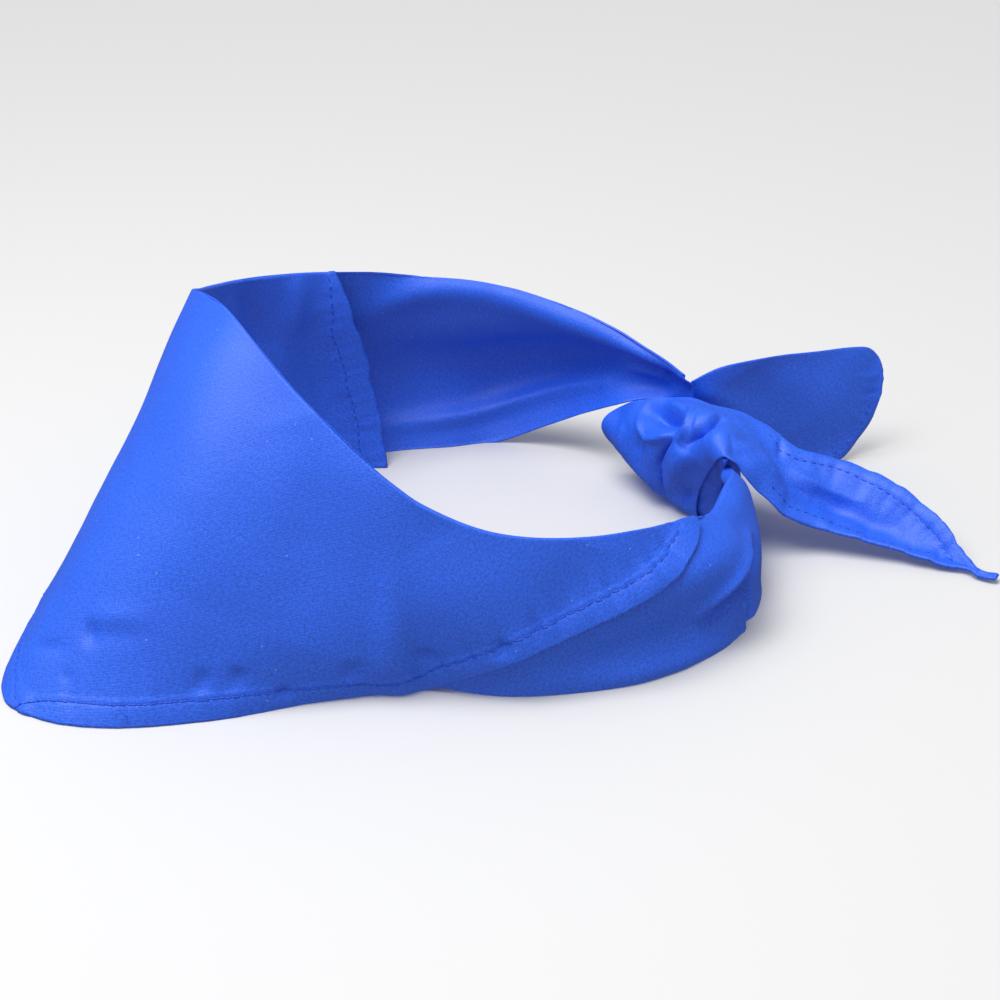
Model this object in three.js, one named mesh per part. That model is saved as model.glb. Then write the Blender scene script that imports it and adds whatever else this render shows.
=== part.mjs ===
// A square neckerchief, folded along its top edge and tied behind the neck with a half knot.
// It stands on its lower edge. +Z is up, the bib faces -Y and the knot lies at +Y.
import * as THREE from 'three';

// Driving sizes in millimetres
const NECK_RADIUS = 70;     // the loop at its top fold
const BIB_HEIGHT = 88;      // the top fold above the surface at the front
const BIB_REACH = 62;       // how far the bib's tip lies out beyond the loop
const KNOT_HEIGHT = 31;     // the knot, and the bands where they run into it
const FRONT_TAIL = 83;      // the leaf-shaped free end, from the knot's crest to its tip
const BACK_TAIL = 60;       // the wider free end
const CLOTH = 1.2;          // a hemmed layer of cloth
const GAP = 0.3;            // from a layer to the middle between the two

// Facets between two rows of a table, and across each piece
const WALL_STEPS = 3;
const WALL_COLUMNS = 9;
const STRAND_STEPS = 4;
const STRAND_COLUMNS = 8;

// Angles in degrees, where each band ends short of the middle of the knot
const NEAR_END = 180 - THREE.MathUtils.radToDeg(0.59 * KNOT_HEIGHT / NECK_RADIUS);
const FAR_END = 180 - THREE.MathUtils.radToDeg(0.08 * KNOT_HEIGHT / NECK_RADIUS);

const BLUE = 0x3f6be3;

function table(names, rows) {
  return rows.map((row) => Object.fromEntries(names.map((name, column) => [name, row[column]])));
}

// A smooth curve through the rows of a table, at a share t of the way along it
function rowAt(rows, t, closed = false) {
  const spans = closed ? rows.length : rows.length - 1;
  const place = Math.min(t * spans, spans - 1e-9);
  const span = Math.floor(place);
  const f = place - span;
  const pick = (k) => (closed ? rows[(k + spans) % spans] : rows[Math.max(0, Math.min(spans, k))]);
  const [a, b, c, d] = [pick(span - 1), pick(span), pick(span + 1), pick(span + 2)];
  const row = {};
  for (const name of Object.keys(b)) {
    const [p, q, r, s] = [a[name], b[name], c[name], d[name]];
    row[name] = q + 0.5 * f * (r - p + f * (2 * p - 5 * q + 4 * r - s + f * (3 * (q - r) + s - p)));
  }
  return row;
}

// How far a section bows out at the share u of its width, from its bow at the three quarter marks
function bowAt(u, high, middle, low) {
  const marks = [0, 0.25, 0.5, 0.75, 1];
  return [0, high, middle, low, 0].reduce((sum, value, i) => {
    const weight = marks.reduce((w, mark, j) => (i === j ? w : w * (u - mark) / (marks[i] - mark)), 1);
    return sum + value * weight;
  }, 0);
}

// The neck wall. Each row is a section that stands across the cloth at one turn round the neck.
// way: share of the way from the front to the knot, negative on the far side
// rise: height of its top, as a share of what the bib's fold rises above the knot
// out: top beyond the neck radius, and bows, as shares of the knot's height
// reach: foot beyond the neck radius, as a share of the bib's reach
// lift: height of its foot, as a share of the knot's height
// slant: how far round the foot lies ahead of the top, in degrees
const WALL = ['way', 'rise', 'out', 'reach', 'lift', 'bowHigh', 'bowMid', 'bowLow', 'slant'];

// The outer layer from the knot round the far side, over the bib's front
const OUTER_ROWS = table(WALL, [
  [-1.000, 0.10, 0.09, 0.11, 0.875, 0.00, 0.03, 0.00, 0],
  [-0.944, 0.16, 0.03, 0.03, 0.74, 0.06, 0.09, 0.06, 0],
  [-0.899, 0.20, 0.00, -0.03, 0.67, 0.10, 0.16, 0.10, 0],
  [-0.843, 0.245, 0.00, 0.00, 0.46, 0.16, 0.22, 0.16, 0],
  [-0.787, 0.29, 0.00, 0.03, 0.23, 0.22, 0.29, 0.22, 0],
  [-0.719, 0.335, 0.00, 0.05, 0.03, 0.22, 0.32, 0.26, 0],
  [-0.657, 0.38, 0.00, 0.03, 0.00, 0.22, 0.32, 0.22, 0],
  [-0.573, 0.45, 0.00, 0.06, 0.00, 0.19, 0.26, 0.19, 0],
  [-0.478, 0.535, 0.00, 0.065, 0.00, 0.13, 0.16, 0.13, 0],
  [-0.365, 0.635, 0.00, 0.10, 0.00, 0.10, 0.13, 0.10, 0],
  [-0.281, 0.72, 0.00, 0.15, 0.00, 0.04, 0.07, 0.06, 0],
  [-0.225, 0.785, 0.00, 0.25, 0.00, 0.01, 0.05, 0.05, 0],
  [-0.140, 0.90, -0.03, 0.49, 0.00, 0.00, 0.05, 0.03, 0],
  [-0.067, 0.99, -0.05, 0.77, 0.00, 0.03, 0.03, 0.02, 0],
  [-0.006, 1.00, -0.05, 1.00, 0.00, 0.03, 0.02, 0.00, 0],
  [0.030, 0.975, -0.03, 0.945, 0.00, 0.06, 0.06, 0.03, 0],
  [0.067, 0.91, -0.03, 0.81, 0.00, 0.10, 0.13, 0.06, 0],
  [0.115, 0.80, -0.03, 0.53, 0.00, 0.10, 0.16, 0.10, 0],
  [0.170, 0.675, -0.02, 0.23, 0.00, 0.13, 0.19, 0.19, 0],
  [0.230, 0.53, 0.00, 0.05, 0.00, 0.10, 0.16, 0.19, 0],
  [0.262, 0.45, 0.00, 0.00, 0.00, 0.08, 0.15, 0.18, 0],
  [0.297, 0.37, 0.00, -0.055, 0.00, 0.07, 0.13, 0.15, 0],
]);

// The inner layer, turned in at the top fold, from its end hem on the far side
const INNER_ROWS = table(WALL, [
  [-0.522, 0.495, 0.00, -0.12, 0.00, -0.03, 0.03, 0.06, -6.5],
  [-0.483, 0.53, 0.00, -0.065, 0.00, 0.00, 0.03, 0.03, -5],
  [-0.427, 0.575, 0.00, -0.03, 0.00, 0.03, 0.06, 0.03, -2],
  [-0.365, 0.635, 0.00, 0.00, 0.00, 0.06, 0.06, 0.03, 0],
  [-0.281, 0.72, 0.00, 0.05, 0.00, 0.04, 0.05, 0.03, 0],
  [-0.225, 0.785, 0.00, 0.13, 0.00, 0.01, 0.03, 0.03, 0],
  [-0.140, 0.90, -0.03, 0.23, 0.00, 0.00, 0.00, 0.03, 0],
  [-0.067, 0.99, -0.05, 0.29, 0.00, 0.00, 0.00, 0.03, 0],
  [-0.006, 1.00, -0.05, 0.29, 0.00, 0.00, 0.00, 0.03, 0],
  [0.067, 0.91, -0.03, 0.23, 0.00, 0.03, 0.03, 0.03, 0],
  [0.115, 0.80, -0.03, 0.145, 0.00, 0.03, 0.06, 0.03, 0],
  [0.170, 0.675, -0.02, 0.05, 0.00, 0.03, 0.06, 0.06, 0],
  [0.230, 0.53, 0.00, -0.02, 0.00, 0.06, 0.10, 0.10, 0],
  [0.262, 0.45, 0.00, -0.045, 0.00, 0.06, 0.10, 0.11, 0],
  [0.297, 0.37, 0.00, -0.07, 0.00, 0.06, 0.12, 0.13, 0],
]);

// The near side, where both layers lie on one wall, and past the bib the near band by itself
const NEAR_ROWS = table(WALL, [
  [0.364, 0.263, 0.00, -0.015, 0.00, 0.06, 0.10, 0.10, 0],
  [0.424, 0.21, 0.00, 0.03, 0.00, 0.06, 0.10, 0.10, 0],
  [0.497, 0.17, 0.00, 0.065, 0.00, 0.06, 0.10, 0.10, 0],
  [0.552, 0.145, 0.00, 0.10, 0.00, 0.06, 0.10, 0.10, 0],
  [0.603, 0.11, -0.02, 0.125, 0.00, 0.06, 0.10, 0.10, 0],
  [0.642, 0.075, -0.02, 0.14, 0.00, 0.10, 0.13, 0.10, 0],
  [0.679, 0.035, -0.02, 0.155, 0.00, 0.13, 0.16, 0.10, 0],
  [0.727, -0.01, -0.03, 0.165, 0.00, 0.15, 0.16, 0.08, 0],
  [0.782, -0.035, -0.03, 0.165, 0.00, 0.16, 0.18, 0.08, 0],
  [0.824, -0.03, -0.02, 0.14, 0.00, 0.15, 0.15, 0.07, 3],
  [0.867, -0.04, 0.00, 0.08, 0.05, 0.11, 0.10, 0.05, 8],
  [0.903, -0.08, 0.02, 0.05, 0.10, 0.05, 0.05, 0.00, 14],
]);

// How far down the near wall the bib reaches before its hem, as a share of the section
const HEM_ROWS = table(['way', 'cover'], [
  [0.297, 1],
  [0.364, 0.82],
  [0.424, 0.665],
  [0.497, 0.51],
  [0.552, 0.41],
  [0.603, 0.31],
  [0.642, 0.16],
  [0.672, 0.03],
]);

// The knot in sections along the winding strand, round the knot once. Each runs from the far edge a
// to the near edge b. side is X, back is Y beyond the neck radius, high is Z, as shares of its height.
const STRAND = ['sideA', 'backA', 'highA', 'sideB', 'backB', 'highB', 'bowHigh', 'bowMid', 'bowLow'];
const KNOT_ROWS = table(STRAND, [
  [-0.45, 0.13, 0.00, 0.61, 0.05, 0.00, 0.00, 0.00, 0.00],
  [-0.65, -0.15, 0.20, 0.53, -0.10, 0.00, 0.02, 0.02, 0.02],
  [-0.735, -0.305, 0.50, 0.51, -0.17, 0.11, 0.08, 0.11, 0.08],
  [-0.645, -0.225, 0.70, 0.58, -0.21, 0.35, 0.13, 0.19, 0.13],
  [-0.29, -0.13, 0.90, 0.82, -0.285, 0.69, 0.11, 0.17, 0.12],
  [0.03, 0.06, 0.99, 1.14, -0.38, 0.975, 0.06, 0.10, 0.06],
  [-0.10, 0.26, 0.84, 0.94, -0.13, 0.77, 0.05, 0.05, 0.05],
  [-0.16, 0.39, 0.52, 0.77, 0.13, 0.48, 0.05, 0.05, 0.05],
  [-0.23, 0.35, 0.19, 0.68, 0.19, 0.19, 0.00, 0.00, 0.00],
]);
const CREST = 5;

// Where each strand has its root: side and back beyond the neck radius, as shares of the knot's height
const KNOT_ROOT = { side: 0, back: 0 };
const FRONT_ROOT = { side: 0.58, back: -0.16 };
const BACK_ROOT = { side: -0.2, back: 0.268 };

// The front tail's start beyond the crest, as a share of its rows
const PAST_CREST = 0.065;

// The free ends in sections from the knot to the tip. side and back are shares of the tail's length
// from its root, high and bow are shares of the knot's height.
const FRONT_TAIL_ROWS = table(STRAND, [
  [-0.10, 0.14, 0.97, 0.25, -0.03, 0.83, 0.06, 0.08, 0.05],
  [0.00, 0.23, 0.87, 0.28, 0.035, 0.62, 0.03, 0.03, 0.03],
  [0.12, 0.27, 0.71, 0.325, 0.10, 0.40, 0.00, -0.03, -0.03],
  [0.22, 0.405, 0.60, 0.385, 0.20, 0.26, -0.03, -0.10, -0.06],
  [0.40, 0.51, 0.45, 0.525, 0.33, 0.14, -0.03, -0.10, -0.10],
  [0.57, 0.555, 0.27, 0.66, 0.44, 0.10, -0.03, -0.06, -0.06],
  [0.685, 0.55, 0.13, 0.725, 0.505, 0.05, 0.00, -0.02, -0.02],
  [0.745, 0.55, 0.08, 0.76, 0.53, 0.03, 0.00, 0.00, 0.00],
  [0.80, 0.575, 0.05, 0.815, 0.555, 0.02, 0.00, 0.00, 0.00],
]);
const BACK_TAIL_ROWS = table(STRAND, [
  [0.00, 0.00, 1.02, -0.04, 0.04, 0.45, 0.00, 0.00, 0.00],
  [0.07, 0.10, 1.17, -0.01, 0.13, 0.16, 0.03, 0.03, 0.03],
  [0.115, 0.25, 1.20, 0.05, 0.265, 0.03, 0.03, 0.06, 0.03],
  [0.14, 0.445, 1.18, 0.115, 0.45, 0.00, 0.03, 0.06, 0.03],
  [0.16, 0.665, 1.13, 0.19, 0.605, 0.00, 0.03, 0.05, 0.03],
  [0.175, 0.81, 1.10, 0.235, 0.73, 0.03, 0.03, 0.03, 0.03],
  [0.185, 0.895, 1.05, 0.23, 0.815, 0.20, 0.02, 0.02, 0.02],
  [0.20, 0.935, 0.95, 0.23, 0.885, 0.40, 0.00, 0.00, 0.00],
  [0.225, 0.95, 0.84, 0.24, 0.925, 0.61, 0.00, 0.00, 0.00],
]);

// One point of the neck wall, at the share u down its section
function wallPoint(row, u) {
  const top = new THREE.Vector2(
    NECK_RADIUS + row.out * KNOT_HEIGHT,
    KNOT_HEIGHT + row.rise * (BIB_HEIGHT - KNOT_HEIGHT),
  );
  const foot = new THREE.Vector2(
    NECK_RADIUS + row.reach * BIB_REACH,
    Math.max(0, row.lift) * KNOT_HEIGHT,
  );
  const chord = foot.clone().sub(top);
  const outward = new THREE.Vector2(-chord.y, chord.x).normalize();
  const bow = bowAt(u, row.bowHigh, row.bowMid, row.bowLow) * KNOT_HEIGHT;
  const point = top.addScaledVector(chord, u).addScaledVector(outward, bow);
  const end = row.way < 0 ? FAR_END : NEAR_END;
  const turn = THREE.MathUtils.degToRad(row.way * end + row.slant * Math.sin(u * Math.PI / 2));
  return new THREE.Vector3(point.x * Math.sin(turn), -point.x * Math.cos(turn), Math.max(0, point.y));
}

function wallGrid(rows, cover) {
  const steps = WALL_STEPS * (rows.length - 1);
  return Array.from({ length: steps + 1 }, (_, i) => {
    const row = rowAt(rows, i / steps);
    const share = (j) => cover(row.way) * j / WALL_COLUMNS;
    return Array.from({ length: WALL_COLUMNS + 1 }, (_, j) => wallPoint(row, share(j)));
  });
}

// One point of a winding strand or free end, at the share u from edge a to edge b
function strandPoint(row, next, u, root, length) {
  const edge = (r, name) => new THREE.Vector3(
    root.side * KNOT_HEIGHT + r[`side${name}`] * length,
    NECK_RADIUS + root.back * KNOT_HEIGHT + r[`back${name}`] * length,
    Math.max(0, r[`high${name}`]) * KNOT_HEIGHT,
  );
  const a = edge(row, 'A');
  const b = edge(row, 'B');
  const across = b.clone().sub(a);
  const middle = a.clone().add(b).multiplyScalar(0.5);
  const ahead = edge(next, 'A').add(edge(next, 'B')).multiplyScalar(0.5).sub(middle);
  const outward = across.clone().cross(ahead).normalize();
  const bow = bowAt(u, row.bowHigh, row.bowMid, row.bowLow) * KNOT_HEIGHT;
  const point = a.addScaledVector(across, u).addScaledVector(outward, bow);
  point.z = Math.max(0, point.z);
  return point;
}

function strandGrid(rows, root, length, { closed = false, from = 0 } = {}) {
  const steps = STRAND_STEPS * (closed ? rows.length : rows.length - 1);
  const nudge = 0.001;
  return Array.from({ length: closed ? steps : steps + 1 }, (_, i) => {
    const t = from + (1 - from) * i / steps;
    const sign = !closed && t + nudge > 1 ? -1 : 1;
    const row = rowAt(rows, t, closed);
    const next = rowAt(rows, t + sign * nudge, closed);
    return Array.from({ length: STRAND_COLUMNS + 1 }, (_, j) => {
      const u = j / STRAND_COLUMNS;
      const point = strandPoint(row, next, u, root, length);
      if (sign > 0) return point;
      const flat = strandPoint({ ...row, bowHigh: 0, bowMid: 0, bowLow: 0 }, next, u, root, length);
      return flat.multiplyScalar(2).sub(point);
    });
  });
}

function gridNormals(grid) {
  const at = (i, j) => grid[Math.max(0, Math.min(grid.length - 1, i))][Math.max(0, Math.min(grid[0].length - 1, j))];
  return grid.map((line, i) => line.map((_, j) => {
    const along = at(i + 1, j).clone().sub(at(i - 1, j));
    const across = at(i, j + 1).clone().sub(at(i, j - 1));
    return across.cross(along).normalize();
  }));
}

// Turns every face the other way where the body's volume comes out negative
function solid(points, faces) {
  const volume = faces.reduce((sum, [a, b, c]) => (
    sum + points[a].dot(points[b].clone().cross(points[c]))
  ), 0);
  const outward = volume > 0 ? faces : faces.map(([a, b, c]) => [a, c, b]);
  const geometry = new THREE.BufferGeometry().setFromPoints(points);
  geometry.setIndex(outward.flat());
  return geometry;
}

// A layer of cloth between two distances from a grid, squared off where it meets the surface
function clothSolid(grid, low, high) {
  const normals = gridNormals(grid);
  const columns = grid[0].length;
  const offset = (point, normal, distance) => {
    if (point.z > 1e-6) {
      const moved = point.clone().addScaledVector(normal, distance);
      moved.z = Math.max(0, moved.z);
      return moved;
    }
    const level = new THREE.Vector3(normal.x, normal.y, 0);
    const slope = Math.max(0.5, level.length());
    return point.clone().addScaledVector(level.normalize(), distance / slope);
  };
  const side = (distance) => grid.flatMap((line, i) => line.map((p, j) => offset(p, normals[i][j], distance)));
  const points = [...side(high), ...side(low)];
  const half = grid.length * columns;
  const faces = [];
  for (let i = 0; i + 1 < grid.length; i += 1) {
    for (let j = 0; j + 1 < columns; j += 1) {
      const [a, b, c, d] = [i * columns + j, i * columns + j + 1, (i + 1) * columns + j + 1, (i + 1) * columns + j];
      faces.push([a, b, c], [a, c, d], [half + a, half + c, half + b], [half + a, half + d, half + c]);
    }
  }
  const rim = [];
  for (let j = 0; j + 1 < columns; j += 1) rim.push(j);
  for (let i = 0; i + 1 < grid.length; i += 1) rim.push(i * columns + columns - 1);
  for (let j = columns - 1; j > 0; j -= 1) rim.push((grid.length - 1) * columns + j);
  for (let i = grid.length - 1; i > 0; i -= 1) rim.push(i * columns);
  rim.forEach((a, k) => {
    const b = rim[(k + 1) % rim.length];
    faces.push([a, half + b, b], [a, half + a, half + b]);
  });
  return solid(points, faces);
}

// A packed lump whose skin is a grid that closes on itself along the strand, capped at both edges
function lumpSolid(grid) {
  const columns = grid[0].length;
  const points = grid.flat();
  const faces = [];
  grid.forEach((_, i) => {
    const next = (i + 1) % grid.length;
    for (let j = 0; j + 1 < columns; j += 1) {
      const [a, b, c, d] = [i * columns + j, i * columns + j + 1, next * columns + j + 1, next * columns + j];
      faces.push([a, b, c], [a, c, d]);
    }
  });
  for (const [j, flip] of [[0, false], [columns - 1, true]]) {
    const centre = grid.reduce((sum, line) => sum.add(line[j]), new THREE.Vector3()).divideScalar(grid.length);
    points.push(centre);
    grid.forEach((_, i) => {
      const [a, b] = [i * columns + j, ((i + 1) % grid.length) * columns + j];
      faces.push(flip ? [a, points.length - 1, b] : [a, b, points.length - 1]);
    });
  }
  return solid(points, faces);
}

const cloth = (colour) => new THREE.MeshStandardMaterial({ color: colour, roughness: 0.85, metalness: 0 });
const piece = (name, geometry) => {
  const mesh = new THREE.Mesh(geometry, cloth(BLUE));
  mesh.name = name;
  return mesh;
};

const neckerchief = new THREE.Group();

const hemStart = HEM_ROWS[0].way;
const hemEnd = HEM_ROWS[HEM_ROWS.length - 1].way;
const hemCover = (way) => {
  if (way <= hemStart) return 1;
  const next = HEM_ROWS.findIndex((row) => row.way >= way);
  const [a, b] = next < 0 ? HEM_ROWS.slice(-2) : [HEM_ROWS[next - 1], HEM_ROWS[next]];
  return a.cover + (b.cover - a.cover) * (way - a.way) / (b.way - a.way);
};
const hemRows = [...NEAR_ROWS.filter((row) => row.way < hemEnd), { ...NEAR_ROWS[6], way: hemEnd }];
const outer = wallGrid([...OUTER_ROWS, ...hemRows], hemCover);
neckerchief.add(piece('bib_layer', clothSolid(outer, GAP, GAP + CLOTH)));

const inner = wallGrid([...INNER_ROWS, ...NEAR_ROWS], () => 1);
neckerchief.add(piece('inner_layer', clothSolid(inner, -GAP - CLOTH, -GAP)));

const knot = strandGrid(KNOT_ROWS, KNOT_ROOT, KNOT_HEIGHT, { closed: true });
neckerchief.add(piece('knot', lumpSolid(knot)));

const tailShare = (value, root) => (value - root) * KNOT_HEIGHT / FRONT_TAIL;
const crest = KNOT_ROWS[CREST];
const crestRow = {
  ...crest,
  sideA: tailShare(crest.sideA, FRONT_ROOT.side),
  sideB: tailShare(crest.sideB, FRONT_ROOT.side),
  backA: tailShare(crest.backA, FRONT_ROOT.back),
  backB: tailShare(crest.backB, FRONT_ROOT.back),
};
const frontTail = strandGrid([crestRow, ...FRONT_TAIL_ROWS], FRONT_ROOT, FRONT_TAIL, { from: PAST_CREST });
neckerchief.add(piece('front_tail', clothSolid(frontTail, -CLOTH / 2, CLOTH / 2)));

const backTail = strandGrid(BACK_TAIL_ROWS, BACK_ROOT, BACK_TAIL);
neckerchief.add(piece('back_tail', clothSolid(backTail, -CLOTH / 2, CLOTH / 2)));

// The origin lies under the middle of the whole part
const box = new THREE.Box3().setFromObject(neckerchief);
const centre = box.getCenter(new THREE.Vector3());
neckerchief.position.set(-centre.x, -centre.y, -box.min.z);

const part = new THREE.Group();
part.add(neckerchief);
export default part;
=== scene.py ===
"""A plain blue neckerchief that stands by itself, folded along its top edge and tied behind."""

import math

import bpy
import numpy as np
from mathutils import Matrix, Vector, kdtree, noise


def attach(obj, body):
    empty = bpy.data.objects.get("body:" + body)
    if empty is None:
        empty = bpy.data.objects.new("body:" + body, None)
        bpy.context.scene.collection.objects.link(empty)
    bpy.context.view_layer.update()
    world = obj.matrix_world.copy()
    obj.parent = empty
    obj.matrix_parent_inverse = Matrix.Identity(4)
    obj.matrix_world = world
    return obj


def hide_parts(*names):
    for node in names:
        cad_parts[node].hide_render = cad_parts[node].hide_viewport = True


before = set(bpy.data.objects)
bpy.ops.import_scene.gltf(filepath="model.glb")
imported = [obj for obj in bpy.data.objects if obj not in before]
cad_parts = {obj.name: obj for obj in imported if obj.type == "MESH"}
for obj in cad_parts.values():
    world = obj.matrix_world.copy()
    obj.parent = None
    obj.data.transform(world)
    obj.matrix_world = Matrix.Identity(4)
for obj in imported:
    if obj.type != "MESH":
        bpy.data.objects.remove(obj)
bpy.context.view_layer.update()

# The outer layer: the front of a square of plain woven cotton, folded along its top edge. Its pointed
# corner hangs as the bib, and its far side runs back as a band into the knot. All its cut edges are
# turned in twice and sewn down by machine.
MM = 0.001
NECK_CENTRE = np.array([-2.84, -0.76, 0.0])  # the middle of the neck's ring, in the part's frame
NECK_RADIUS = 70
BIB_HEIGHT = 88
BIB_REACH = 62
KNOT_HEIGHT = 31
NEAR_END = 165  # how many degrees round the near band meets the knot
FAR_END = 178  # and the far band
CLOTH = 0.5  # one layer of the cotton
LAYER_GAP = 0.5  # from the fitted wall to the middle of each layer
HEM = 6.5  # the width of the turned hem
HEM_THICK = 1.15  # three layers pressed together
STITCH_IN = 5.4  # the row of stitches, from the edge
STITCH = 2.5  # from one stitch to the next
THREAD = 0.32  # the sewing thread's thickness


def table(names, rows):
    return dict(zip(names.split(), np.array(rows, float).T))


# A wall's rows: the way round the neck, 0 at the tip and -1 or 1 at the knot, then its top edge, its
# foot and its bows in shares of the sizes above
WALL = "way rise out reach lift bow_high bow_mid bow_low slant"
OUTER_ROWS = table(WALL, [
    (-1.000, 0.085, 0.09, 0.11, 0.875, 0.00, 0.03, 0.00, 0),
    (-0.944, 0.150, 0.03, 0.03, 0.83, 0.00, 0.06, 0.08, 0),
    (-0.899, 0.21, 0.00, -0.03, 0.76, -0.02, 0.08, 0.14, 0),
    (-0.843, 0.262, 0.00, 0.00, 0.545, -0.02, 0.12, 0.20, 0),
    (-0.787, 0.307, 0.00, 0.03, 0.30, -0.02, 0.16, 0.25, 0),
    (-0.719, 0.352, 0.00, 0.045, 0.05, -0.02, 0.18, 0.27, 0),
    (-0.657, 0.392, 0.00, 0.00, 0.00, 0.00, 0.18, 0.25, 0),
    (-0.573, 0.455, 0.00, 0.02, 0.00, 0.06, 0.17, 0.19, 0),
    (-0.478, 0.525, 0.00, 0.055, 0.00, 0.13, 0.16, 0.13, 0),
    (-0.365, 0.62, 0.00, 0.10, 0.00, 0.10, 0.13, 0.10, 0),
    (-0.281, 0.705, 0.00, 0.15, 0.00, 0.04, 0.07, 0.06, 0),
    (-0.225, 0.772, 0.00, 0.33, 0.00, 0.01, 0.03, 0.03, 0),
    (-0.140, 0.895, -0.01, 0.60, 0.00, 0.00, -0.02, 0.00, 0),
    (-0.100, 0.945, -0.02, 0.725, 0.00, 0.00, -0.02, 0.00, 0),
    (-0.067, 0.978, -0.03, 0.825, 0.00, 0.01, 0.00, -0.01, 0),
    (-0.006, 1.00, -0.05, 1.01, 0.00, 0.03, 0.02, 0.00, 0),
    (0.030, 0.975, -0.03, 0.965, 0.00, 0.06, 0.06, 0.02, 0),
    (0.067, 0.91, -0.03, 0.81, 0.00, 0.10, 0.13, 0.06, 0),
    (0.115, 0.80, -0.03, 0.515, 0.00, 0.10, 0.16, 0.10, 0),
    (0.170, 0.675, -0.02, 0.21, 0.00, 0.13, 0.19, 0.19, 0),
    (0.230, 0.518, 0.00, 0.03, 0.00, 0.10, 0.16, 0.19, 0),
    (0.262, 0.438, 0.00, 0.00, 0.00, 0.08, 0.15, 0.18, 0),
    (0.297, 0.358, 0.00, -0.055, 0.00, 0.07, 0.13, 0.11, 0),
    (0.364, 0.251, 0.00, -0.003, 0.00, 0.06, 0.09, 0.07, 0),
    (0.424, 0.198, 0.00, 0.042, 0.00, 0.06, 0.10, 0.10, 0),
    (0.497, 0.158, 0.00, 0.077, 0.00, 0.06, 0.10, 0.10, 0),
    (0.552, 0.133, 0.00, 0.112, 0.00, 0.06, 0.10, 0.10, 0),
    (0.603, 0.098, -0.02, 0.137, 0.00, 0.06, 0.10, 0.10, 0),
    (0.642, 0.075, -0.02, 0.152, 0.00, 0.10, 0.13, 0.10, 0),
    (0.679, 0.035, -0.02, 0.167, 0.00, 0.13, 0.16, 0.10, 0),
])
# How far down the wall the outer layer reaches before its hem, as a share of the section
HEM_ROWS = table("way cover", [
    (-1.0, 1.0), (0.24, 1.0), (0.297, 0.985), (0.364, 0.82), (0.424, 0.665), (0.497, 0.51),
    (0.552, 0.41), (0.603, 0.30), (0.642, 0.16), (0.672, 0.03),
])


def unit(vectors):
    """The vectors at length 1."""
    return vectors / np.maximum(np.linalg.norm(vectors, axis=-1, keepdims=True), 1e-9)


def run_along(line):
    """How far along a line of points each of them lies."""
    return np.concatenate([[0], np.cumsum(np.linalg.norm(np.diff(line, axis=0), axis=1))])


def points_at(at, run, line):
    """A line's points, or its directions, at distances along it."""
    return np.stack([np.interp(at, run, line[:, k]) for k in range(3)], -1)


def smooth(rows, place):
    """The rows' values at places between them (0 at the first row, 1 at the next), on one curve."""
    count = len(next(iter(rows.values())))
    span = np.clip(place.astype(int), 0, count - 2)
    f = place - span
    values = {}
    for name, column in rows.items():
        p, q, r, s = (column[np.clip(span + k, 0, count - 1)] for k in (-1, 0, 1, 2))
        values[name] = q + 0.5 * f * (r - p + f * (2 * p - 5 * q + 4 * r - s + f * (3 * (q - r) + s - p)))
    return values


def rows_at(rows, ways):
    """The rows' values at turns round the neck."""
    places = np.linspace(0, len(rows["way"]) - 1, 4000)
    return smooth(rows, np.interp(ways, smooth(rows, places)["way"], places))


def bow(u, high, middle, low):
    """How far a section stands off its chord at shares u, through its heights at three quarter marks."""
    marks = (0, 0.25, 0.5, 0.75, 1)
    total = 0
    for mark, value in zip(marks[1:4], (high, middle, low)):
        weight = 1
        for other in marks:
            if other != mark:
                weight = weight * (u - other) / (mark - other)
        total = total + value * weight
    return total


def wall(rows, ways, shares):
    """Points of a wall round the neck, at turns (one for each row) and shares down it (one grid)."""
    row = {name: column[:, None] for name, column in rows_at(rows, ways).items()}
    top = np.stack([NECK_RADIUS + row["out"] * KNOT_HEIGHT,
                    KNOT_HEIGHT + row["rise"] * (BIB_HEIGHT - KNOT_HEIGHT)], -1)
    foot = np.stack([NECK_RADIUS + row["reach"] * BIB_REACH,
                     np.maximum(0, row["lift"]) * KNOT_HEIGHT], -1)
    chord = foot - top
    outward = unit(np.stack([-chord[..., 1], chord[..., 0]], -1))
    bows = bow(shares, row["bow_high"], row["bow_mid"], row["bow_low"]) * KNOT_HEIGHT
    place = top + chord * shares[..., None] + outward * bows[..., None]
    end = np.where(ways < 0, FAR_END, NEAR_END)[:, None]
    turn = np.radians(ways[:, None] * end + row["slant"] * np.sin(shares * math.pi / 2))
    return np.stack([place[..., 0] * np.sin(turn), -place[..., 0] * np.cos(turn), place[..., 1]], -1)


def grid_normals(grid):
    """Which way a sheet faces at each point of its grid. Rows run along the cloth, columns across it."""
    return unit(np.cross(np.gradient(grid, axis=1), np.gradient(grid, axis=0)))


def near_line(grid, line):
    """Each point's distance from a line of points, and how far along the line its nearest point is."""
    lengths = run_along(line)
    marks = np.arange(0, lengths[-1], 0.4)
    dense = points_at(marks, lengths, line)
    tree = kdtree.KDTree(len(dense))
    for i, point in enumerate(dense):
        tree.insert(point, i)
    tree.balance()
    found = [tree.find(point) for point in grid.reshape(-1, 3)]
    away = np.array([f[2] for f in found]).reshape(grid.shape[:2])
    run = np.array([marks[f[1]] for f in found]).reshape(grid.shape[:2])
    return away, run


def rippled(grid, size, height, seed):
    """Soft uneven waves of the cloth, the same in every layer that lies in one place."""
    shift = Vector((seed * 7.3, seed * 3.1, seed * 5.7))
    values = [noise.noise(Vector(point) / size + shift) for point in grid.reshape(-1, 3)]
    return np.array(values).reshape(grid.shape[:2]) * height


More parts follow.
